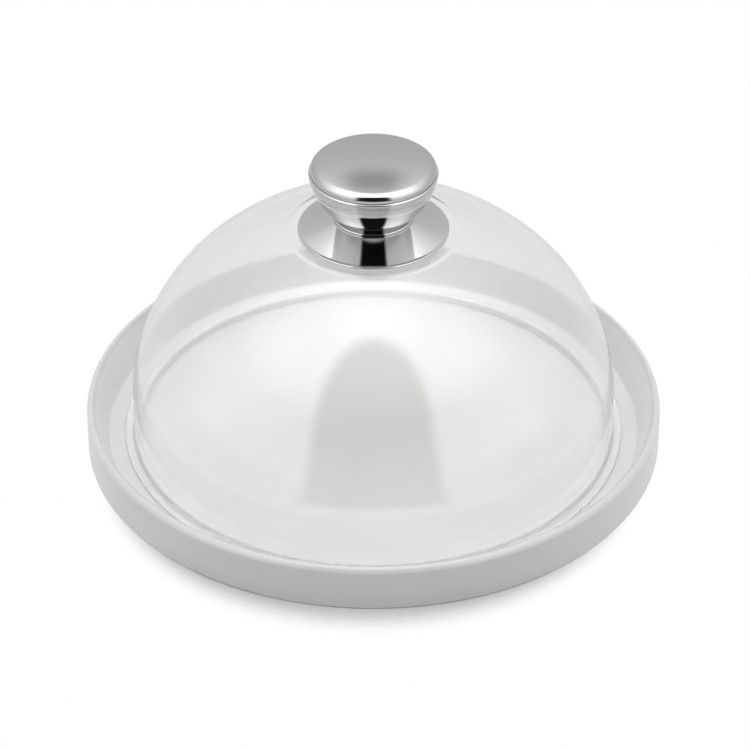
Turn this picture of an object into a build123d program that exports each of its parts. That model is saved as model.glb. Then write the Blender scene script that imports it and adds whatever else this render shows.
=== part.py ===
from build123d import *
from math import acos, asin, atan, cos, degrees, radians, sin, sqrt, tan
import os

# A serving plate with a clear lift-off cloche and a plated knob.
# Millimetres, +Z up, origin on the table under the middle of the plate.

# Plate
plate_radius = 105.4
plate_height = 16.8
rim_width = 2.8
rim_outer_rounding = 1.9
rim_inner_rounding = 0.8
floor_top = 3.5
floor_underside = 0.9
well_lean = 21.0
well_fillet = 1.2
edge_rounding = 0.6
foot_ring_width = 8.0
foot_ring_flank = 0.9
foot_ring_rounding = 0.35

# Dome of the cloche
dome_radius = 88.4
dome_rise = 75.1
dome_equator = 18.8
dome_wall = 1.5
lip_radius = 91.6
lip_height = 0.9
lip_fillet = 0.9
lip_rounding = 0.35
shoulder_radius = 31.2
inner_shoulder_radius = 30.8
seat_top = 89.2
seat_thickness = 1.5
screw_hole_radius = 3.0

# Knob: foot, cup and cap, clamped on the seat by one screw
gasket_thickness = 0.3
gasket_radius = 26.0
flange_radius = 27.1
flange_height = 0.75
flange_rounding = 0.25
flare_radius = 19.5
flare_tilt = 4.0
collar_radius = 15.65
collar_rounding = 0.3
foot_height = 6.9
foot_core_radius = 14.5
foot_mouth_radius = 22.0
foot_core_rounding = 0.7
foot_wall = 1.3
foot_bore_radius = 2.75
boss_radius = 8.0
spigot_radius = 7.5
spigot_length = 1.9
spigot_clearance = 0.05
ball_radius = 23.25
ball_centre = 115.75
cup_top = 113.5
cup_wall = 1.9
cup_floor = 2.0
cup_boss_radius = 6.0
cup_boss_height = 9.5
cup_edge_rounding = 0.5
cap_radius = 22.4
cap_side_height = 1.0
cap_edge_rounding = 1.9
cap_edge_tilt = 35.0
cap_shoulder_rounding = 8.0
cap_crown_tilt = 8.0
cap_thickness = 1.8
cap_plug_radius = 20.6
cap_plug_length = 2.2
cap_plug_wall = 1.5

# Hardware
insert_radius = 3.5
insert_length = 8.5
insert_groove = 0.35
insert_groove_width = 1.6
insert_clearance = 0.02
thread_bore_radius = 2.53
screw_radius = 2.5
screw_length = 16.0
screw_tip = 0.6
screw_head_radius = 4.75
screw_head_height = 3.0
screw_head_rounding = 1.4
cross_length = 5.2
cross_width = 1.1
cross_depth = 1.7
washer_radius = 8.0
washer_bore_radius = 2.75
washer_thickness = 1.2

# Heights of the knob stack, upwards from the seat
seat_underside = seat_top - seat_thickness
foot_bottom = seat_top + gasket_thickness
foot_top = foot_bottom + foot_height
spigot_bottom = foot_top - spigot_length
socket_bottom = spigot_bottom - spigot_clearance
washer_bottom = seat_underside - washer_thickness


def rounded(face, corners):
    """The face with each (radius, height, rounding) corner of its outline rounded."""
    for radius, height, rounding in corners:
        corner = face.vertices().sort_by_distance((radius, height))[0]
        face = fillet(corner, rounding)
    return face


def outline(*corners):
    """Closed outline through (radius, height) corners, where a third number rounds the corner."""
    face = make_face(Polyline(*[corner[:2] for corner in corners], close=True))
    return rounded(face, [corner for corner in corners if len(corner) == 3])


def turned(face):
    """Solid of revolution about Z of an outline drawn as (radius, height)."""
    return revolve(Plane.XZ * face, Axis.Z)


def plate():
    """Shallow dish with an upright wall and a rounded rim, standing on a flat ring under the wall."""
    ring_inner = plate_radius - foot_ring_width
    wall_foot = plate_radius - rim_width - (plate_height - floor_top) * tan(radians(well_lean))
    return turned(outline(
        (0, floor_underside),
        (ring_inner - foot_ring_flank, floor_underside, foot_ring_rounding),
        (ring_inner, 0, foot_ring_rounding),
        (plate_radius, 0, edge_rounding),
        (plate_radius, plate_height, rim_outer_rounding),
        (plate_radius - rim_width, plate_height, rim_inner_rounding),
        (wall_foot, floor_top, well_fillet),
        (0, floor_top),
    ))


def dome_side(across, rise, bend_start, level):
    """One face of the dome: up the ellipse to a radius, then a soft bend that ends flat at a level."""
    climb = acos(bend_start / across)
    side = EllipticalCenterArc((0, dome_equator), across, rise, arc_size=degrees(climb))
    tilt = atan(rise / across / tan(climb))
    bend = (level - (side @ 1).Y) / (1 - cos(tilt))
    centre = (bend_start - bend * sin(tilt), level - bend)
    return side.edges() + CenterArc(centre, bend, 90 - degrees(tilt), degrees(tilt)).edges()


def dome():
    """Clear shell: half an ellipsoid on a short skirt with a lip, with a flat seat on top for the knob."""
    inner_radius = dome_radius - dome_wall
    lip_top = floor_top + lip_height
    outside = dome_side(dome_radius, dome_rise, shoulder_radius, seat_top)
    inside = dome_side(inner_radius, dome_rise - dome_wall, inner_shoulder_radius, seat_underside)
    base = Polyline(
        inside[0] @ 0, (inner_radius, floor_top), (lip_radius, floor_top),
        (lip_radius, lip_top), (dome_radius, lip_top), outside[0] @ 0,
    )
    seat = Polyline(
        outside[1] @ 1, (screw_hole_radius, seat_top),
        (screw_hole_radius, seat_underside), inside[1] @ 1,
    )
    shell = make_face(base.edges() + outside + seat.edges() + inside)
    return turned(rounded(shell, [
        (inner_radius, floor_top, lip_rounding),
        (lip_radius, floor_top, lip_rounding),
        (lip_radius, lip_top, lip_rounding),
        (dome_radius, lip_top, lip_fillet),
    ]))


def knob_gasket():
    """Soft disc between the knob's flange and the dome."""
    return turned(outline(
        (screw_hole_radius, seat_top),
        (gasket_radius, seat_top),
        (gasket_radius, foot_bottom),
        (screw_hole_radius, foot_bottom),
    ))


def knob_foot():
    """Flange that sweeps up in a hollow trumpet to a sloped collar, on which the ball stands."""
    core_top = socket_bottom - foot_wall
    rim_top = foot_bottom + flange_height
    tilt = radians(flare_tilt)
    end_tilt = asin(sin(tilt) + (flange_radius - collar_radius) / flare_radius)
    flare = CenterArc(
        (flange_radius + flare_radius * sin(tilt), rim_top + flare_radius * cos(tilt)),
        flare_radius, 270 - flare_tilt, flare_tilt - degrees(end_tilt),
    )
    collar_edge = flare @ 1
    ball_seat_radius = sqrt(ball_radius**2 - (ball_centre - foot_top)**2)
    inside = Polyline(
        collar_edge, (ball_seat_radius, foot_top), (spigot_radius + spigot_clearance, foot_top),
        (spigot_radius + spigot_clearance, socket_bottom), (foot_bore_radius, socket_bottom),
        (foot_bore_radius, foot_bottom), (boss_radius, foot_bottom), (boss_radius, core_top),
        (foot_core_radius, core_top), (foot_mouth_radius, foot_bottom),
        (flange_radius, foot_bottom), (flange_radius, rim_top),
    )
    return turned(rounded(make_face(flare.edges() + inside.edges()), [
        (flange_radius, rim_top, flange_rounding),
        (collar_edge.X, collar_edge.Y, collar_rounding),
        (boss_radius, core_top, foot_core_rounding),
        (foot_core_radius, core_top, foot_core_rounding),
    ]))


def arc_about_axis(centre, radius, low, high):
    """Arc between two levels, on the right of Z, of a circle whose centre is on Z."""
    start = degrees(asin((low - centre) / radius))
    end = degrees(asin((high - centre) / radius))
    return CenterArc((0, centre), radius, start, end - start)


def knob_cup():
    """Hollow lower half of the ball, with a spigot below and a boss for the threaded insert."""
    floor = foot_top + cup_floor
    boss_top = floor + cup_boss_height
    insert_end = spigot_bottom + insert_length
    outside = arc_about_axis(ball_centre, ball_radius, foot_top, cup_top)
    inside = arc_about_axis(ball_centre, ball_radius - cup_wall, floor, cup_top)
    stem = Polyline(
        inside @ 0, (cup_boss_radius, floor), (cup_boss_radius, boss_top), (0, boss_top),
        (0, insert_end), (insert_radius, insert_end), (insert_radius, spigot_bottom),
        (spigot_radius, spigot_bottom), (spigot_radius, foot_top), outside @ 0,
    )
    rim = Line(outside @ 1, inside @ 1)
    shell = make_face(stem.edges() + outside.edges() + rim.edges() + inside.edges())
    return turned(rounded(shell, [((outside @ 1).X, cup_top, cup_edge_rounding)]))


def knob_cap():
    """Slightly crowned lid of the ball, with a plug ring that enters the cup."""
    side_top = cup_top + cap_side_height
    plug_bottom = cup_top - cap_plug_length
    plug_inside = cap_plug_radius - cap_plug_wall
    edge = CenterArc((cap_radius - cap_edge_rounding, side_top), cap_edge_rounding, 0, 90 - cap_edge_tilt)
    slope = Vector(sin(radians(cap_edge_tilt)), cos(radians(cap_edge_tilt)))
    shoulder = CenterArc(
        edge @ 1 - slope * cap_shoulder_rounding, cap_shoulder_rounding,
        90 - cap_edge_tilt, cap_edge_tilt - cap_crown_tilt,
    )
    crown_edge = shoulder @ 1
    crown_radius = crown_edge.X / sin(radians(cap_crown_tilt))
    crown_centre = crown_edge.Y - crown_radius * cos(radians(cap_crown_tilt))
    crown = CenterArc((0, crown_centre), crown_radius, 90 - cap_crown_tilt, cap_crown_tilt)
    ceiling_radius = crown_radius - cap_thickness
    ceiling_edge = acos(plug_inside / ceiling_radius)
    ceiling = CenterArc((0, crown_centre), ceiling_radius, degrees(ceiling_edge), 90 - degrees(ceiling_edge))
    middle = Line(crown @ 1, ceiling @ 1)
    plug = Polyline(
        ceiling @ 0, (plug_inside, plug_bottom), (cap_plug_radius, plug_bottom),
        (cap_plug_radius, cup_top), (cap_radius, cup_top), edge @ 0,
    )
    lid = make_face(
        edge.edges() + shoulder.edges() + crown.edges() + middle.edges() + ceiling.edges() + plug.edges()
    )
    return turned(rounded(lid, [(cap_radius, cup_top, cup_edge_rounding / 2)]))


def threaded_insert():
    """Metal nut with a waist, pressed into the cup's boss."""
    outer = insert_radius - insert_clearance
    waist = outer - insert_groove
    bottom = spigot_bottom + insert_clearance
    top = spigot_bottom + insert_length - insert_clearance
    middle = (bottom + top) / 2
    return turned(outline(
        (thread_bore_radius, bottom),
        (outer, bottom),
        (outer, middle - insert_groove_width / 2),
        (waist, middle - insert_groove_width / 2),
        (waist, middle + insert_groove_width / 2),
        (outer, middle + insert_groove_width / 2),
        (outer, top),
        (thread_bore_radius, top),
    ))


def fixing_screw():
    """Pan-head screw with a cross recess, driven up from inside the dome."""
    head_bottom = washer_bottom - screw_head_height
    tip = washer_bottom + screw_length
    blank = turned(outline(
        (0, head_bottom),
        (screw_head_radius, head_bottom, screw_head_rounding),
        (screw_head_radius, washer_bottom),
        (screw_radius, washer_bottom),
        (screw_radius, tip - screw_tip),
        (screw_radius - screw_tip, tip),
        (0, tip),
    ))
    slot = Box(cross_length, cross_width, 2 * cross_depth)
    cross = slot + Rot(0, 0, 90) * slot
    return blank - Pos(0, 0, head_bottom) * cross


def inner_washer():
    """Plain washer between the screw's head and the dome."""
    return turned(outline(
        (washer_bore_radius, washer_bottom),
        (washer_radius, washer_bottom, washer_thickness / 4),
        (washer_radius, seat_underside),
        (washer_bore_radius, seat_underside),
    ))


pieces = [
    plate, dome, knob_gasket, knob_foot, knob_cup, knob_cap,
    threaded_insert, fixing_screw, inner_washer,
]
os.makedirs("parts", exist_ok=True)
for piece in pieces:
    export_step(piece(), f"parts/{piece.__name__}.step")
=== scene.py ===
# A serving plate with a clear lift-off cloche and a plated knob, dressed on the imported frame.
from math import acos, asin, atan, ceil, cos, pi, radians, sin, sqrt, tan, tau

import bmesh
import bpy
from mathutils import Matrix, Vector


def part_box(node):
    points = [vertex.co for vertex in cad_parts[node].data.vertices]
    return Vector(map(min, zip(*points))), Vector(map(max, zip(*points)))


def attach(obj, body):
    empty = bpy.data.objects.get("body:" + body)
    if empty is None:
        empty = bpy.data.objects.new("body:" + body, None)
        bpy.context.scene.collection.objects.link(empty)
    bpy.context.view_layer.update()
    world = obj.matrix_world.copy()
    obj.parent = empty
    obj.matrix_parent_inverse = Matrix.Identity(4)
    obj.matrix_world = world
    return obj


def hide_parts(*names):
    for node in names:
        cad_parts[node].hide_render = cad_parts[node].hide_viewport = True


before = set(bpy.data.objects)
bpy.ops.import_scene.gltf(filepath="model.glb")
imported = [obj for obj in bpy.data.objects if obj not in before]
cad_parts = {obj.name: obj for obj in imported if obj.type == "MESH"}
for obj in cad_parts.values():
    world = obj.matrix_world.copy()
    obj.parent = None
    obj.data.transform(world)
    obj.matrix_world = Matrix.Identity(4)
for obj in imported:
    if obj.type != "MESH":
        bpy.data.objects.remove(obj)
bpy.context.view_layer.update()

# Plate: one pressing in white melamine resin, cured and polished in a steel die.
# A flat floor runs into an upright wall with a rounded rim, and a flat ring under the wall
# carries it on the table.
mm = 0.001
edge_break = 0.15
arc_step = radians(7.5)
flat_guard = 0.12
weld_reach = 0.001
rim_width = 2.8
rim_outer_rounding = 2.3
rim_inner_rounding = 0.5
floor_top = 3.5
floor_underside = 0.9
well_lean = radians(21)
well_fillet = 1.2
edge_rounding = 0.6
foot_ring_width = 8.0
foot_ring_flank = 0.9
foot_ring_rounding = 0.35
melamine_cloud = 30.0
melamine_ripple = 1.6
melamine_ripple_depth = 0.0006
melamine_tones = {0.35: "#C9C9C9", 0.65: "#CCCCCC"}
melamine_polish = (0.17, 0.24)
melamine_ior = 1.48
# Painted shade on the rim: the height of the darkened band under the crest, and its tone.
rim_shade_band = 1.2
rim_shade_tone = "#BCBCBC"


def span(node):
    """Outer radius, lowest and highest level of a turned CAD node, in mm."""
    low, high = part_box(node)
    return high.x / mm, low.z / mm, high.z / mm


def rounded(last, corner, following, rounding):
    """Points of the arc that rounds a corner, with a point on each flat beside it to keep that flat."""
    back = last - corner
    ahead = following - corner
    opening = back.angle(ahead)
    back_room = back.length
    ahead_room = ahead.length
    back.normalize()
    ahead.normalize()
    reach = rounding / tan(opening / 2)
    centre = corner + (back + ahead).normalized() * rounding / sin(opening / 2)
    spoke = corner + back * reach - centre
    side = 1 if back.cross(ahead) < 0 else -1
    steps = max(2, ceil((pi - opening) / arc_step))
    arc = [
        centre + Matrix.Rotation(side * (pi - opening) * step / steps, 2) @ spoke
        for step in range(steps + 1)
    ]
    before = [corner + back * (reach + flat_guard)] if back_room > reach + 3 * flat_guard else []
    after = [corner + ahead * (reach + flat_guard)] if ahead_room > reach + 3 * flat_guard else []
    return before + arc + after


def outline(*corners):
    """Points through (radius, height) corners in mm. A third number rounds the corner, or at 0 keeps
    a point of a curve. An outline that doesn't start on the axis is closed."""
    points = []
    for place, (radius, height, *rounding) in enumerate(corners):
        corner = Vector((radius, height))
        rounding = rounding[0] if rounding else edge_break
        if radius == 0 or rounding == 0:
            points.append(corner)
            continue
        last = Vector(corners[place - 1][:2])
        following = Vector(corners[(place + 1) % len(corners)][:2])
        points += rounded(last, corner, following, rounding)
    return points if corners[0][0] == 0 else points + points[:1]


def curve(centre, across, rise, start, end, steps):
    """Points of an ellipse about a (radius, height) centre, from one angle to another."""
    angles = [start + (end - start) * step / steps for step in range(steps + 1)]
    return [(centre[0] + across * cos(angle), centre[1] + rise * sin(angle), 0) for angle in angles]


def add(tree, kind, inputs=(), **settings):
    """Adds a node with its settings. Each input takes a value, or a socket that is linked to it."""
    node = tree.nodes.new(kind)
    for name, value in settings.items():
        setattr(node, name, value)
    for name, value in dict(inputs).items():
        if isinstance(value, bpy.types.NodeSocket):
            tree.links.new(value, node.inputs[name])
        else:
            node.inputs[name].default_value = value
    return node


def node_tree(name, **inputs):
    """A geometry tree with the named inputs, and a function that ends it in a real mesh."""
    tree = bpy.data.node_groups.new(name, "GeometryNodeTree")
    for label, kind in {"Shape": "Geometry", "Material": "Material", **inputs}.items():
        tree.interface.new_socket(label, in_out="INPUT", socket_type="NodeSocket" + kind)
    tree.interface.new_socket("Mesh", in_out="OUTPUT", socket_type="NodeSocketGeometry")
    given = add(tree, "NodeGroupInput").outputs

    def close(mesh):
        real = add(tree, "GeometryNodeRealizeInstances", {"Geometry": mesh}).outputs[0]
        dressed = add(tree, "GeometryNodeSetMaterial", {"Geometry": real, "Material": given["Material"]})
        add(tree, "NodeGroupOutput", {"Mesh": dressed.outputs[0]})

    return tree, given, close


# The turning rule: every point of an outline is carried round the axis in equal steps, and the seam
# and the poles are welded. Points at the crest radius can be cut by a wave that runs round the axis
# and climbs it, which gives threads and knurls.
turning, given, close = node_tree(
    "turned_on_an_axis", Segments="Int", Crest="Float", Depth="Float", Starts="Float", Lead="Float",
)
count = add(
    turning, "GeometryNodeAttributeDomainSize", {"Geometry": given["Shape"]},
).outputs["Point Count"]
columns = add(turning, "ShaderNodeMath", {0: given["Segments"], 1: 1.0}, operation="ADD").outputs[0]
net = add(turning, "GeometryNodeMeshGrid", {"Vertices X": columns, "Vertices Y": count}).outputs["Mesh"]
index = add(turning, "GeometryNodeInputIndex").outputs[0]
row = add(turning, "ShaderNodeMath", {0: index, 1: count}, operation="MODULO").outputs[0]
part_turn = add(turning, "ShaderNodeMath", {0: index, 1: count}, operation="DIVIDE").outputs[0]
column = add(turning, "ShaderNodeMath", {0: part_turn}, operation="FLOOR").outputs[0]
turn = add(turning, "ShaderNodeMath", {0: column, 1: given["Segments"]}, operation="DIVIDE").outputs[0]
angle = add(turning, "ShaderNodeMath", {0: turn, 1: tau}, operation="MULTIPLY").outputs[0]
place = add(turning, "GeometryNodeInputPosition").outputs[0]
sampled = add(
    turning, "GeometryNodeSampleIndex",
    {"Geometry": given["Shape"], "Value": place, "Index": row}, data_type="FLOAT_VECTOR",
).outputs[0]
level = add(turning, "ShaderNodeSeparateXYZ", {"Vector": sampled}).outputs
around = add(turning, "ShaderNodeMath", {0: turn, 1: given["Starts"]}, operation="MULTIPLY").outputs[0]
phase = add(
    turning, "ShaderNodeMath", {0: level["Z"], 1: given["Lead"], 2: around}, operation="MULTIPLY_ADD",
).outputs[0]
wave = add(turning, "ShaderNodeMath", {0: phase, 1: 0.5}, operation="PINGPONG").outputs[0]
at_crest = add(
    turning, "ShaderNodeMath", {0: level["X"], 1: given["Crest"], 2: weld_reach * mm},
    operation="COMPARE",
).outputs[0]
deepest = add(turning, "ShaderNodeMath", {0: given["Depth"], 1: -2.0}, operation="MULTIPLY").outputs[0]
groove = add(turning, "ShaderNodeMath", {0: wave, 1: deepest}, operation="MULTIPLY").outputs[0]
inwards = add(turning, "ShaderNodeMath", {0: groove, 1: at_crest}, operation="MULTIPLY").outputs[0]
shift = add(turning, "ShaderNodeCombineXYZ", {"X": inwards}).outputs[0]
cut = add(turning, "ShaderNodeVectorMath", {0: sampled, 1: shift}, operation="ADD").outputs[0]
carried = add(
    turning, "ShaderNodeVectorRotate", {"Vector": cut, "Angle": angle}, rotation_type="Z_AXIS",
).outputs[0]
wrapped = add(turning, "GeometryNodeSetPosition", {"Geometry": net, "Position": carried}).outputs[0]
welded = add(
    turning, "GeometryNodeMergeByDistance", {"Geometry": wrapped, "Distance": weld_reach * mm},
).outputs[0]
close(add(turning, "GeometryNodeSetShadeSmooth", {"Geometry": welded}).outputs[0])


def made(name, mesh, tree, **inputs):
    """A piece from a starting mesh and a geometry tree, turned into a plain mesh with faces outwards."""
    piece = bpy.data.objects.new(name, mesh)
    bpy.context.scene.collection.objects.link(piece)
    modifier = piece.modifiers.new(tree.name, "NODES")
    modifier.node_group = tree
    for socket in tree.interface.items_tree:
        if socket.in_out == "INPUT" and socket.name in inputs:
            modifier[socket.identifier] = inputs[socket.name]
    evaluated = piece.evaluated_get(bpy.context.evaluated_depsgraph_get())
    finished = bpy.data.meshes.new_from_object(evaluated)
    piece.modifiers.clear()
    piece.data = finished
    work = bmesh.new()
    work.from_mesh(finished)
    bmesh.ops.recalc_face_normals(work, faces=work.faces)
    work.to_mesh(finished)
    work.free()
    return piece


def turned(name, points, material, segments=256, **cut):
    """A piece turned about the axis from an outline in mm, with the cut of its crest if it has one."""
    mesh = bpy.data.meshes.new(name)
    rail = [(i, i + 1) for i in range(len(points) - 1)]
    mesh.from_pydata([(point.x * mm, 0, point.y * mm) for point in points], rail, [])
    return made(name, mesh, turning, Segments=segments, Material=material, **cut)


def colour(code):
    """Linear colour of an sRGB hex code."""
    channels = [int(code[place:place + 2], 16) / 255 for place in (1, 3, 5)]
    return *[c / 12.92 if c <= 0.04045 else ((c + 0.055) / 1.055) ** 2.4 for c in channels], 1.0


def new_material(name):
    """An empty material: its tree, its Principled shader's inputs and the piece's own coordinates."""
    material = bpy.data.materials.new(name)
    material.use_nodes = True
    tree = material.node_tree
    shader = tree.nodes["Principled BSDF"]
    where = add(tree, "ShaderNodeTexCoord").outputs["Object"]
    return material, tree, shader.inputs, where


# Polished melamine: a clean cool white with a soft sheen and a sharp core to each highlight.
# Slow clouds from the powder's filling shift the tone a little, and the die leaves a fine ripple.
# The top of the wall is painted a shade darker towards the crest of the rim, a painted shade that tones
# down how bright the rim catches the light.
plate_radius, plate_foot, plate_height = span("plate")
melamine, tree, surface, where = new_material("white_melamine_polished")
clouds = add(
    tree, "ShaderNodeTexNoise",
    {"Vector": where, "Scale": 1 / (melamine_cloud * mm), "Detail": 3.0, "Roughness": 0.55},
).outputs["Fac"]
tones = add(tree, "ShaderNodeValToRGB", {"Fac": clouds})
for stop, (position, tone) in zip(tones.color_ramp.elements, melamine_tones.items()):
    stop.position = position
    stop.color = colour(tone)
height = add(tree, "ShaderNodeSeparateXYZ", {"Vector": where}).outputs["Z"]
# Painted shade: the colour darkens over the top of the wall towards the rim's crest.
rim_shade_mask = add(tree, "ShaderNodeMapRange", {
    "Value": height, "From Min": (plate_height - rim_shade_band) * mm, "From Max": plate_height * mm,
}).outputs[0]
rim_shaded_colour = add(
    tree, "ShaderNodeMix", {0: rim_shade_mask, 6: tones.outputs["Color"], 7: colour(rim_shade_tone)},
    data_type="RGBA",
).outputs[2]
tree.links.new(rim_shaded_colour, surface["Base Color"])
sheen = add(tree, "ShaderNodeMapRange", {
    "Value": clouds, "To Min": melamine_polish[0], "To Max": melamine_polish[1],
}).outputs[0]
tree.links.new(sheen, surface["Roughness"])
ripple = add(
    tree, "ShaderNodeTexNoise", {"Vector": where, "Scale": 1 / (melamine_ripple * mm), "Detail": 1.0},
).outputs["Fac"]
bump = add(tree, "ShaderNodeBump", {"Height": ripple, "Distance": melamine_ripple_depth * mm})
tree.links.new(bump.outputs[0], surface["Normal"])
surface["IOR"].default_value = melamine_ior

ring_inner = plate_radius - foot_ring_width
wall_foot = plate_radius - rim_width - (plate_height - floor_top) * tan(well_lean)
plate = turned("plate_melamine", outline(
    (0, floor_underside),
    (ring_inner - foot_ring_flank, floor_underside, foot_ring_rounding),
    (ring_inner, plate_foot, foot_ring_rounding),
    (plate_radius, plate_foot, edge_rounding),
    (plate_radius, plate_height, rim_outer_rounding),
    (plate_radius - rim_width, plate_height, rim_inner_rounding),
    (wall_foot, floor_top, well_fillet),
    (0, floor_top),
), melamine)
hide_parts("plate")
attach(plate, "plate")

# Dome: one injection moulding in clear styrene plastic, high polish inside and out.
# Half an ellipsoid stands on a short skirt with a lip, and bends softly into a flat seat for the knob.
dome_radius = 88.4
dome_rise = 75.1
dome_equator = 18.8
dome_wall = 1.5
lip_height = 0.9
lip_fillet = 0.9
lip_rounding = 0.35
shoulder_radius = 31.6
inner_shoulder_radius = 31.2
seat_thickness = 1.5
screw_hole_radius = 3.0
standing_gap = 0.03
touching_gap = 0.02
dome_steps = 64
bend_steps = 10

# Clear moulded styrene: water clear with strong reflections, and a very slight long ripple from the
# flow of the melt. The lip and its fillet are left satin where the moulding was trimmed, so they
# don't glint.
melt_ripple = 14.0
melt_ripple_depth = 0.004
satin_lip_top = 4.8
satin_fading = 1.0
satin_roughness = 0.45
satin_transmission = 0.63
clear_polish = (0.03, 0.07)
styrene_ior = 1.6
clear_styrene, tree, surface, where = new_material("clear_styrene_moulded")
surface["Base Color"].default_value = colour("#FFFFFF")
surface["IOR"].default_value = styrene_ior
flow = add(
    tree, "ShaderNodeTexNoise", {"Vector": where, "Scale": 1 / (melt_ripple * mm), "Detail": 1.0},
).outputs["Fac"]
haze = add(tree, "ShaderNodeMapRange", {
    "Value": flow, "To Min": clear_polish[0], "To Max": clear_polish[1],
}).outputs[0]
level = add(tree, "ShaderNodeSeparateXYZ", {"Vector": where}).outputs["Z"]
above_lip = add(tree, "ShaderNodeMapRange", {
    "Value": level, "From Min": satin_lip_top * mm, "From Max": (satin_lip_top + satin_fading) * mm,
}).outputs[0]
for trait, satin, clear in (
    ("Roughness", satin_roughness, haze),
    ("Transmission Weight", satin_transmission, 1.0),
):
    finish = add(tree, "ShaderNodeMix", {"Factor": above_lip, "A": satin, "B": clear}).outputs[0]
    tree.links.new(finish, surface[trait])
bump = add(tree, "ShaderNodeBump", {"Height": flow, "Distance": melt_ripple_depth * mm})
tree.links.new(bump.outputs[0], surface["Normal"])

lip_radius, dome_foot, seat_top = span("dome")
dome_foot += standing_gap
lip_top = floor_top + lip_height
seat_underside = seat_top - seat_thickness
inner_radius = dome_radius - dome_wall
inner_rise = dome_rise - dome_wall


def dome_side(across, rise, bend_start, level):
    """One face of the dome: up the ellipse to a radius, then a soft bend that ends flat at a level."""
    climb = acos(bend_start / across)
    tilt = atan(rise / across / tan(climb))
    bend = (level - dome_equator - rise * sin(climb)) / (1 - cos(tilt))
    centre = (bend_start - bend * sin(tilt), level - bend)
    side = curve((0, dome_equator), across, rise, 0, climb, dome_steps)
    return side + curve(centre, bend, bend, pi / 2 - tilt, pi / 2, bend_steps)[1:]


dome = turned("dome_clear", outline(
    (inner_radius, dome_foot, lip_rounding),
    (lip_radius, dome_foot, lip_rounding),
    (lip_radius, lip_top, lip_rounding),
    (dome_radius, lip_top, lip_fillet),
    *dome_side(dome_radius, dome_rise, shoulder_radius, seat_top),
    (screw_hole_radius, seat_top),
    (screw_hole_radius, seat_underside),
    *reversed(dome_side(inner_radius, inner_rise, inner_shoulder_radius, seat_underside)),
), clear_styrene)
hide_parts("dome")
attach(dome, "cloche")

# Knob gasket: a soft silicone disc die-cut to lie between the knob's flange and the dome.
# It keeps the plated foot off the clear plastic and stops it turning.
silicone_grain = 0.8
silicone_grain_depth = 0.01
silicone, tree, surface, where = new_material("milky_silicone")
grain = add(
    tree, "ShaderNodeTexNoise", {"Vector": where, "Scale": 1 / (silicone_grain * mm), "Detail": 2.0},
).outputs["Fac"]
tones = add(tree, "ShaderNodeValToRGB", {"Fac": grain})
tones.color_ramp.elements[0].color = colour("#B9BAB8")
tones.color_ramp.elements[1].color = colour("#C6C7C5")
tree.links.new(tones.outputs["Color"], surface["Base Color"])
surface["Roughness"].default_value = 0.6
surface["Subsurface Weight"].default_value = 0.3
surface["Subsurface Radius"].default_value = (1.0, 1.0, 1.0)
surface["Subsurface Scale"].default_value = 0.5 * mm
bump = add(tree, "ShaderNodeBump", {"Height": grain, "Distance": silicone_grain_depth * mm})
tree.links.new(bump.outputs[0], surface["Normal"])

gasket_radius, gasket_bottom, gasket_top = span("knob_gasket")
gasket = turned("knob_gasket_silicone", outline(
    (screw_hole_radius, gasket_bottom + touching_gap),
    (gasket_radius, gasket_bottom + touching_gap),
    (gasket_radius, gasket_top),
    (screw_hole_radius, gasket_top),
), silicone)
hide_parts("knob_gasket")
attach(gasket, "cloche")

# Knob foot: a plated plastic moulding with a thin upright flange and a narrow land along its edge.
# It rises in a shallow trumpet to a short neck that the ball stands on, and is hollow underneath.
flange_height = 0.75
flange_rounding = 0.25
land_width = 1.1
land_tilt = radians(6)
flare_radius = 92.0
flare_tilt = radians(17)
neck_radius = 14.6
neck_height = 1.3
neck_rounding = 0.5
foot_core_radius = 14.5
foot_mouth_radius = 22.0
foot_core_rounding = 0.7
foot_wall = 1.3
foot_bore_radius = 2.75
boss_radius = 8.0
ball_radius = 23.25
ball_centre = 115.75
spigot_radius = 7.5
spigot_clearance = 0.05
flare_steps = 28

# Bright chrome over moulded plastic: mirror reflections with deep blacks, softened a touch by the
# moulding's own slow waves and by fine wiping marks.
chrome_wave = 9.0
chrome_wave_depth = 0.001
chrome_wipe = 0.5


def plating(name, tone, smoothest, roughest):
    """Chrome plate of one tone, with wiping marks between two roughnesses."""
    metal, tree, surface, where = new_material(name)
    surface["Base Color"].default_value = colour(tone)
    surface["Metallic"].default_value = 1.0
    wipe = add(
        tree, "ShaderNodeTexNoise", {"Vector": where, "Scale": 1 / (chrome_wipe * mm), "Detail": 3.0},
    ).outputs["Fac"]
    polish = add(
        tree, "ShaderNodeMapRange", {"Value": wipe, "To Min": smoothest, "To Max": roughest},
    ).outputs[0]
    tree.links.new(polish, surface["Roughness"])
    waves = add(
        tree, "ShaderNodeTexNoise", {"Vector": where, "Scale": 1 / (chrome_wave * mm), "Detail": 0.0},
    ).outputs["Fac"]
    bump = add(tree, "ShaderNodeBump", {"Height": waves, "Distance": chrome_wave_depth * mm})
    tree.links.new(bump.outputs[0], surface["Normal"])
    return metal


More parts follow.
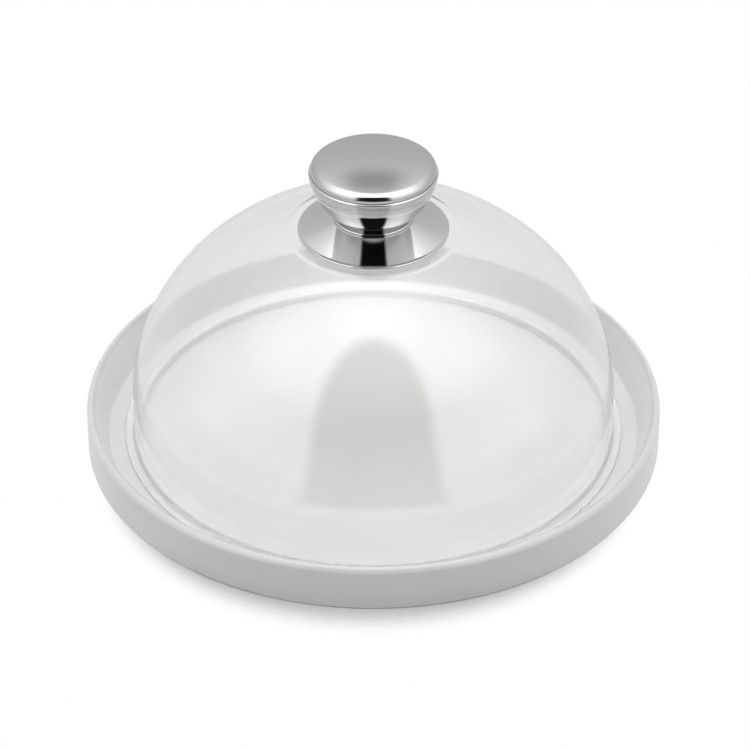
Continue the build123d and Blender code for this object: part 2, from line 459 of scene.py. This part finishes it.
chrome = plating("bright_chrome_plating", "#C6C6C6", smoothest=0.03, roughest=0.09)
flange_radius, foot_bottom, foot_top = span("knob_foot")
_, spigot_bottom, cup_top = span("knob_cup")
socket_bottom = spigot_bottom - spigot_clearance
core_top = socket_bottom - foot_wall
flange_top = foot_bottom + flange_height
land_radius = flange_radius - land_width
flare_centre = (
    land_radius + flare_radius * sin(flare_tilt),
    flange_top + land_width * tan(land_tilt) + flare_radius * cos(flare_tilt),
)
flare_end = asin(sin(flare_tilt) + (land_radius - neck_radius) / flare_radius)
flare = curve(
    flare_centre, flare_radius, flare_radius,
    1.5 * pi - flare_tilt, 1.5 * pi - flare_end, flare_steps,
)
ball_seat_radius = sqrt(ball_radius**2 - (ball_centre - foot_top)**2)
knob_foot = turned("knob_foot_chrome", outline(
    (foot_bore_radius, foot_bottom),
    (boss_radius, foot_bottom),
    (boss_radius, core_top, foot_core_rounding),
    (foot_core_radius, core_top, foot_core_rounding),
    (foot_mouth_radius, foot_bottom),
    (flange_radius, foot_bottom),
    (flange_radius, flange_top, flange_rounding),
    (*flare[0][:2], land_width),
    *flare[1:-1],
    flare[-1][:2],
    (neck_radius, flare[-1][1] + neck_height, neck_rounding),
    (ball_seat_radius, foot_top),
    (spigot_radius + spigot_clearance, foot_top),
    (spigot_radius + spigot_clearance, socket_bottom),
    (foot_bore_radius, socket_bottom),
), chrome)
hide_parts("knob_foot")
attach(knob_foot, "cloche")

# Knob cup: the hollow lower half of the ball, plated like the foot.
# A spigot below centres it on the foot, and a boss inside holds the threaded insert.
cup_wall = 1.9
cup_floor = 2.0
cup_boss_radius = 6.0
cup_boss_height = 9.5
cup_edge_rounding = 0.5
insert_length = 8.5
insert_bore = 3.5
ball_steps = 28

cup_floor_level = foot_top + cup_floor
cup_boss_top = cup_floor_level + cup_boss_height
insert_end = spigot_bottom + insert_length
hollow_radius = ball_radius - cup_wall
ball_start = asin((foot_top - ball_centre) / ball_radius)
ball_end = asin((cup_top - ball_centre) / ball_radius)
hollow_start = asin((cup_floor_level - ball_centre) / hollow_radius)
hollow_end = asin((cup_top - ball_centre) / hollow_radius)
knob_cup = turned("knob_cup_chrome", outline(
    (0, insert_end),
    (insert_bore, insert_end),
    (insert_bore, spigot_bottom),
    (spigot_radius, spigot_bottom),
    (spigot_radius, foot_top + touching_gap),
    (ball_radius * cos(ball_start), foot_top + touching_gap),
    *curve((0, ball_centre), ball_radius, ball_radius, ball_start, ball_end, ball_steps)[1:-1],
    (ball_radius * cos(ball_end), cup_top, cup_edge_rounding),
    (hollow_radius * cos(hollow_end), cup_top),
    *curve((0, ball_centre), hollow_radius, hollow_radius, hollow_end, hollow_start, ball_steps)[1:-1],
    (hollow_radius * cos(hollow_start), cup_floor_level),
    (cup_boss_radius, cup_floor_level),
    (cup_boss_radius, cup_boss_top),
    (0, cup_boss_top),
), chrome)
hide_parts("knob_cup")
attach(knob_cup, "cloche")

# Knob cap: the slightly crowned lid of the ball, plated like the cup.
# A plug ring under it is pressed into the cup, which leaves a hairline seam round the knob.
cap_side_height = 1.0
cap_edge_rounding = 1.9
cap_edge_tilt = radians(35)
cap_shoulder_rounding = 4.5
cap_crown_tilt = radians(10.95)
cap_thickness = 1.8
cap_plug_radius = 20.6
cap_plug_wall = 1.5
cap_steps = 12

cap_radius, plug_bottom, crown_top = span("knob_cap")
plug_inside = cap_plug_radius - cap_plug_wall
edge_centre = (cap_radius - cap_edge_rounding, cup_top + cap_side_height)
shoulder_inset = cap_shoulder_rounding - cap_edge_rounding
shoulder_centre = (
    edge_centre[0] - shoulder_inset * sin(cap_edge_tilt),
    edge_centre[1] - shoulder_inset * cos(cap_edge_tilt),
)
crown_edge = shoulder_centre[0] + cap_shoulder_rounding * sin(cap_crown_tilt)
crown_radius = crown_edge / sin(cap_crown_tilt)
crown_centre = (0, crown_top - crown_radius)
ceiling_radius = crown_radius - cap_thickness
ceiling_edge = acos(plug_inside / ceiling_radius)
# Satin chrome: the same plate dulled by the hand that lifts it, and painted a shade darker, a painted
# shade that dims the lid's reflection of the light overhead.
shaded_satin_chrome = plating("satin_chrome_plating", "#BEBEBE", smoothest=0.1, roughest=0.17)
knob_cap = turned("knob_cap_chrome", outline(
    (0, crown_top - cap_thickness),
    *curve(crown_centre, ceiling_radius, ceiling_radius, pi / 2, ceiling_edge, cap_steps)[1:-1],
    (plug_inside, crown_centre[1] + ceiling_radius * sin(ceiling_edge)),
    (plug_inside, plug_bottom),
    (cap_plug_radius, plug_bottom),
    (cap_plug_radius, cup_top + touching_gap),
    (cap_radius, cup_top + touching_gap, cup_edge_rounding / 2),
    *curve(edge_centre, cap_edge_rounding, cap_edge_rounding, 0, pi / 2 - cap_edge_tilt, cap_steps),
    *curve(
        shoulder_centre, cap_shoulder_rounding, cap_shoulder_rounding,
        pi / 2 - cap_edge_tilt, pi / 2 - cap_crown_tilt, cap_steps,
    )[1:],
    *curve(crown_centre, crown_radius, crown_radius, pi / 2 - cap_crown_tilt, pi / 2, cap_steps)[1:-1],
    (0, crown_top),
), shaded_satin_chrome)
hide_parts("knob_cap")
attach(knob_cap, "cloche")

# Threaded insert: a brass nut turned from bar, knurled in two bands with a waist between them.
# It is pressed into the cup's boss, where the plastic grips the knurls.
insert_waist_depth = 0.35
insert_waist_width = 1.6
thread_bore_radius = 2.53
knurl_teeth = 36
knurl_depth = 0.12

# Turned brass: a warm yellow metal with fine rings left by the tool, drawn six times as wide as its
# feed so that they show. The wave pattern runs at 20 radians a unit.
tool_feed = 0.12
tool_ring_depth = 0.002
wave_rate = 20
brass, tree, surface, where = new_material("brass_turned")
surface["Base Color"].default_value = colour("#C8A75E")
surface["Metallic"].default_value = 1.0
surface["Roughness"].default_value = 0.28
rings = add(
    tree, "ShaderNodeTexWave",
    {"Vector": where, "Scale": 1 / (wave_rate * tool_feed * mm), "Distortion": 0.4},
    bands_direction="Z",
).outputs["Fac"]
bump = add(tree, "ShaderNodeBump", {"Height": rings, "Distance": tool_ring_depth * mm})
tree.links.new(bump.outputs[0], surface["Normal"])

insert_radius, insert_bottom, insert_top = span("threaded_insert")
insert_middle = (insert_bottom + insert_top) / 2
waist_bottom = insert_middle - insert_waist_width / 2
waist_top = insert_middle + insert_waist_width / 2
insert = turned("threaded_insert_brass", outline(
    (thread_bore_radius, insert_bottom),
    (insert_radius, insert_bottom),
    (insert_radius, waist_bottom),
    (insert_radius - insert_waist_depth, waist_bottom),
    (insert_radius - insert_waist_depth, waist_top),
    (insert_radius, waist_top),
    (insert_radius, insert_top),
    (thread_bore_radius, insert_top),
), brass, Crest=insert_radius * mm, Depth=knurl_depth * mm, Starts=float(knurl_teeth))
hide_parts("threaded_insert")
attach(insert, "cloche")

# Fixing screw: an M5 pan-head machine screw in stainless steel, headed cold and thread-rolled.
# It is driven up from inside the dome and draws the whole knob down on its seat.
screw_radius = 2.5
screw_pitch = 0.8
screw_thread_depth = 0.4
screw_thread_length = 12.0
screw_tip = 0.6
screw_head_height = 3.0
screw_head_rounding = 1.4
rows_per_turn = 12
cross_length = 5.2
cross_width = 1.1
cross_depth = 1.7
sharp_angle = radians(40)

# Stainless steel: grey with a soft bright sheen, a little uneven from the tumbling barrel.
tumbling = 0.6
steel_polish = (0.2, 0.38)
steel, tree, surface, where = new_material("stainless_steel_tumbled")
surface["Base Color"].default_value = colour("#BDBBB7")
surface["Metallic"].default_value = 1.0
dents = add(
    tree, "ShaderNodeTexNoise", {"Vector": where, "Scale": 1 / (tumbling * mm), "Detail": 2.0},
).outputs["Fac"]
sheen = add(tree, "ShaderNodeMapRange", {
    "Value": dents, "To Min": steel_polish[0], "To Max": steel_polish[1],
}).outputs[0]
tree.links.new(sheen, surface["Roughness"])

head_radius, head_bottom, screw_end = span("fixing_screw")
head_top = head_bottom + screw_head_height
thread_end = screw_end - screw_tip
thread_rows = ceil(screw_thread_length / screw_pitch * rows_per_turn)
blank = turned("fixing_screw_steel", outline(
    (0, head_bottom),
    (head_radius, head_bottom, screw_head_rounding),
    (head_radius, head_top),
    (screw_radius, head_top),
    *[
        (screw_radius, thread_end - screw_thread_length * (1 - step / thread_rows), 0)
        for step in range(thread_rows + 1)
    ],
    (screw_radius - screw_tip, screw_end),
    (0, screw_end),
), steel, segments=96, Crest=screw_radius * mm, Depth=screw_thread_depth * mm,
    Starts=1.0, Lead=-1 / (screw_pitch * mm))

# The recess rule: two crossed slots are taken out of the head.
recess, given, close = node_tree("cross_recess")
slots = []
for slot_size in ((cross_length, cross_width), (cross_width, cross_length)):
    size = [side * mm for side in (*slot_size, 2 * cross_depth)]
    block = add(recess, "GeometryNodeMeshCube", {"Size": size}).outputs["Mesh"]
    slots.append(add(recess, "GeometryNodeTransform", {
        "Geometry": block, "Translation": (0, 0, head_bottom * mm),
    }).outputs[0])
hollowed = given["Shape"]
for slot in slots:
    hollowed = add(
        recess, "GeometryNodeMeshBoolean", {"Mesh 1": hollowed, "Mesh 2": slot}, operation="DIFFERENCE",
    ).outputs[0]
close(hollowed)
screw = made("fixing_screw_recessed", blank.data, recess, Material=steel)
screw.data.set_sharp_from_angle(angle=sharp_angle)
bpy.data.objects.remove(blank)
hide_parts("fixing_screw")
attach(screw, "cloche")

# Inner washer: a natural nylon ring moulded with a soft outer edge.
# It spreads the screw's pull on the underside of the clear seat.
washer_bore_radius = 2.75
washer_rounding = 0.3

# Natural nylon: a milky warm white, waxy and dull.
nylon_grain = 0.5
nylon_grain_depth = 0.004
nylon, tree, surface, where = new_material("natural_nylon")
surface["Base Color"].default_value = colour("#E4E1D6")
surface["Roughness"].default_value = 0.45
surface["Subsurface Weight"].default_value = 0.4
surface["Subsurface Radius"].default_value = (1.0, 0.9, 0.75)
surface["Subsurface Scale"].default_value = 0.8 * mm
grain = add(
    tree, "ShaderNodeTexNoise", {"Vector": where, "Scale": 1 / (nylon_grain * mm), "Detail": 2.0},
).outputs["Fac"]
bump = add(tree, "ShaderNodeBump", {"Height": grain, "Distance": nylon_grain_depth * mm})
tree.links.new(bump.outputs[0], surface["Normal"])

washer_radius, washer_bottom, washer_top = span("inner_washer")
washer = turned("inner_washer_nylon", outline(
    (washer_bore_radius, washer_bottom + touching_gap),
    (washer_radius, washer_bottom + touching_gap, washer_rounding),
    (washer_radius, washer_top - touching_gap),
    (washer_bore_radius, washer_top - touching_gap),
), nylon, segments=128)
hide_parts("inner_washer")
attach(washer, "cloche")

# Floor, light and camera, with lengths in metres: a grey patch under the front of the plate, centred in
# front of it and faded out towards its edge, is a painted shadow that deepens the plate's contact shadow
# and fades into the white of a light tent.
shadow_patch_centre = Vector((-0.0012, -0.02, 0.0))
shadow_patch_fading = 0.087
shadow_patch_radius = 0.101
shadow_patch_hole = 0.105
floor = bpy.data.objects.new("floor", bpy.data.meshes.new("floor"))
bpy.context.scene.collection.objects.link(floor)
sheet = bmesh.new()
bmesh.ops.create_circle(
    sheet, cap_ends=True, segments=128, radius=shadow_patch_radius, matrix=Matrix.Translation(shadow_patch_centre),
)
sheet.to_mesh(floor.data)
sheet.free()
# Painted shadow: the patch is grey and fades out with distance from its centre in front of the plate,
# and is left open under the plate.
shadow_patch_paint, tree, surface, where = new_material("painted_shadow_patch")
surface["Base Color"].default_value = colour("#BEBEBE")
surface["Roughness"].default_value = 0.9
surface["Specular IOR Level"].default_value = 0.0
from_centre = add(
    tree, "ShaderNodeVectorMath", {0: where, 1: shadow_patch_centre}, operation="DISTANCE",
).outputs["Value"]
shown = add(tree, "ShaderNodeMapRange", {
    "Value": from_centre, "From Min": shadow_patch_fading, "From Max": shadow_patch_radius,
    "To Min": 1.0, "To Max": 0.0,
}, interpolation_type="SMOOTHSTEP").outputs[0]
middle = add(tree, "ShaderNodeVectorMath", {0: where}, operation="LENGTH").outputs["Value"]
beyond_hole = add(
    tree, "ShaderNodeMath", {0: middle, 1: shadow_patch_hole}, operation="GREATER_THAN",
).outputs[0]
cover = add(tree, "ShaderNodeMath", {0: shown, 1: beyond_hole}, operation="MULTIPLY").outputs[0]
tree.links.new(cover, surface["Alpha"])
floor.data.materials.append(shadow_patch_paint)

# The tent: brightest overhead, falling towards the horizon, with a bright panel on either side. The
# front, a little brighter low down, has a dark arched opening through which the picture is taken,
# and a dim patch hangs at the back. Levels are given at degrees of height, and of turn from the front.
height_levels = {-90: 0.78, -12: 0.78, 4: 0.9, 12: 0.92, 32: 1.08, 50: 1.7, 65: 2.4, 80: 3.1, 90: 3.4}
turn_levels = {
    0: 1.2, 45: 1.25, 60: 1.4, 82: 1.4, 95: 1.15, 110: 0.9, 125: 0.8, 140: 0.77, 180: 0.75,
}
panel_foot = radians(-12)
panel_bottom = radians(6)
panel_fading = radians(44)
panel_top = radians(68)
low_front_width = radians(68)
low_front_core = radians(45)
low_front_fading = radians(22)
low_front_top = radians(42)
low_front_lift = 0.1
gap_half_width = radians(25)
gap_half_width_low = radians(31)
gap_bottom = radians(-18)
gap_top = radians(79.5)
gap_arch = 3.4
gap_edge = 0.25
gap_softness = radians(3)
gap_glow = 0.008
patch_bottom = radians(40)
patch_edge = radians(7)
patch_fading = radians(48)
patch_top = radians(68)
patch_core = radians(5)
patch_half_width = radians(17)
patch_depth = 0.6

world = bpy.data.worlds.new("white_tent")
bpy.context.scene.world = world
world.use_nodes = True
tree = world.node_tree
tree.nodes.clear()
ray = add(tree, "ShaderNodeTexCoord").outputs["Generated"]
axes = add(tree, "ShaderNodeSeparateXYZ", {"Vector": ray}).outputs
height = add(tree, "ShaderNodeMath", {0: axes["Z"]}, operation="ARCSINE").outputs[0]
front = add(tree, "ShaderNodeMath", {0: axes["Y"], 1: -1.0}, operation="MULTIPLY").outputs[0]
bearing = add(tree, "ShaderNodeMath", {0: axes["X"], 1: front}, operation="ARCTAN2").outputs[0]


def light_by(angle, levels):
    """Light that follows an angle, from levels given at degrees."""
    lowest, highest = min(levels), max(levels)
    share = add(tree, "ShaderNodeMapRange", {
        "Value": angle, "From Min": radians(lowest), "From Max": radians(highest),
    }).outputs[0]
    ramp = add(tree, "ShaderNodeValToRGB", {"Fac": share})
    for degree in list(levels)[1:-1]:
        ramp.color_ramp.elements.new((degree - lowest) / (highest - lowest))
    for stop, light in zip(ramp.color_ramp.elements, levels.values()):
        stop.color = (light, light, light, 1)
    return ramp.outputs["Color"]


def fade(angle, start, end):
    """Smooth fall from one to nothing between two angles."""
    return add(tree, "ShaderNodeMapRange", {
        "Value": angle, "From Min": start, "From Max": end, "To Min": 1.0, "To Max": 0.0,
    }, interpolation_type="SMOOTHSTEP").outputs[0]


climb = add(tree, "ShaderNodeMath", {0: axes["Z"], 1: front}, operation="ARCTAN2").outputs[0]
flank = add(tree, "ShaderNodeMapRange", {
    "Value": climb, "From Min": gap_bottom, "From Max": gap_top,
    "To Min": sin(gap_half_width_low), "To Max": sin(gap_half_width),
}).outputs[0]
sideways = add(tree, "ShaderNodeMath", {0: axes["X"], 1: flank}, operation="DIVIDE").outputs[0]
spread = add(tree, "ShaderNodeMath", {0: sideways, 1: 2.0}, operation="POWER").outputs[0]
climbed = add(tree, "ShaderNodeMath", {0: climb}, operation="ABSOLUTE").outputs[0]
share = add(tree, "ShaderNodeMath", {0: climbed, 1: gap_top}, operation="DIVIDE").outputs[0]
arch = add(tree, "ShaderNodeMath", {0: share, 1: gap_arch}, operation="POWER").outputs[0]
reach = add(tree, "ShaderNodeMath", {0: spread, 1: arch}, operation="ADD").outputs[0]
beside_gap = add(tree, "ShaderNodeMapRange", {
    "Value": reach, "From Min": 1 - gap_edge, "From Max": 1 + gap_edge, "To Min": gap_glow,
}, interpolation_type="SMOOTHSTEP").outputs[0]
under_gap = fade(height, gap_bottom - gap_softness, gap_bottom + gap_softness)
clear_of_gap = add(tree, "ShaderNodeMath", {0: beside_gap, 1: under_gap}, operation="MAXIMUM").outputs[0]
turned_away = add(tree, "ShaderNodeMath", {0: bearing}, operation="ABSOLUTE").outputs[0]
under_patch = fade(height, patch_bottom - patch_edge, patch_bottom + patch_edge)
above_bottom = add(tree, "ShaderNodeMath", {0: 1.0, 1: under_patch}, operation="SUBTRACT").outputs[0]
under_top = fade(height, patch_fading, patch_top)
near_level = add(
    tree, "ShaderNodeMath", {0: above_bottom, 1: under_top}, operation="MULTIPLY",
).outputs[0]
near_back = fade(turned_away, pi - patch_core, pi - patch_half_width)
dimness = add(tree, "ShaderNodeMath", {0: near_level, 1: near_back}, operation="MULTIPLY").outputs[0]
patch_share = add(
    tree, "ShaderNodeMath", {0: dimness, 1: -patch_depth, 2: 1.0}, operation="MULTIPLY_ADD",
).outputs[0]
opened = add(tree, "ShaderNodeMath", {0: clear_of_gap, 1: patch_share}, operation="MULTIPLY").outputs[0]
under_panels = fade(height, panel_foot, panel_bottom)
beside_panels = add(tree, "ShaderNodeMath", {
    0: fade(height, panel_fading, panel_top), 1: under_panels,
}, operation="SUBTRACT").outputs[0]
panels = add(tree, "ShaderNodeMix", {
    "Factor": beside_panels, "A": 1.0, "B": light_by(turned_away, turn_levels),
}).outputs[0]
in_front = fade(turned_away, low_front_core, low_front_width)
low_down = fade(height, low_front_fading, low_front_top)
near_front = add(tree, "ShaderNodeMath", {0: in_front, 1: low_down}, operation="MULTIPLY").outputs[0]
front_share = add(
    tree, "ShaderNodeMath", {0: near_front, 1: low_front_lift, 2: 1.0}, operation="MULTIPLY_ADD",
).outputs[0]
strength = opened
for share in (panels, front_share):
    strength = add(tree, "ShaderNodeMath", {0: strength, 1: share}, operation="MULTIPLY").outputs[0]
tent = add(tree, "ShaderNodeBackground", {
    "Color": light_by(height, height_levels), "Strength": strength,
})
plain = add(tree, "ShaderNodeBackground", {"Color": colour("#FFFFFF")})
looked_at = add(tree, "ShaderNodeLightPath").outputs["Is Camera Ray"]
shown = add(tree, "ShaderNodeMixShader", {0: looked_at, 1: tent.outputs[0], 2: plain.outputs[0]})
add(tree, "ShaderNodeOutputWorld", {"Surface": shown.outputs[0]})

# The camera looks down at the front of the plate from about 1.4 m away.
camera_distance = 1.365
camera_elevation = radians(34.857)
camera_aim = Vector((0.000567, 0, 0.025735))
camera_sensor = 36
camera_lens = 178.55
camera = bpy.data.objects.new("camera", bpy.data.cameras.new("camera"))
bpy.context.scene.collection.objects.link(camera)
away = Vector((0, -cos(camera_elevation), sin(camera_elevation)))
camera.location = camera_aim + camera_distance * away
camera.rotation_euler = away.to_track_quat("Z", "Y").to_euler()
camera.data.sensor_width = camera_sensor
camera.data.lens = camera_lens
bpy.context.scene.camera = camera
# Light that passes the clear dome stays sharp, and is followed along its wall to the lip.
light_paths = bpy.context.scene.cycles
light_paths.blur_glossy = 0.0
light_paths.max_bounces = 32
light_paths.transmission_bounces = 32
light_paths.glossy_bounces = 24
bpy.context.scene.view_settings.view_transform = "Standard"
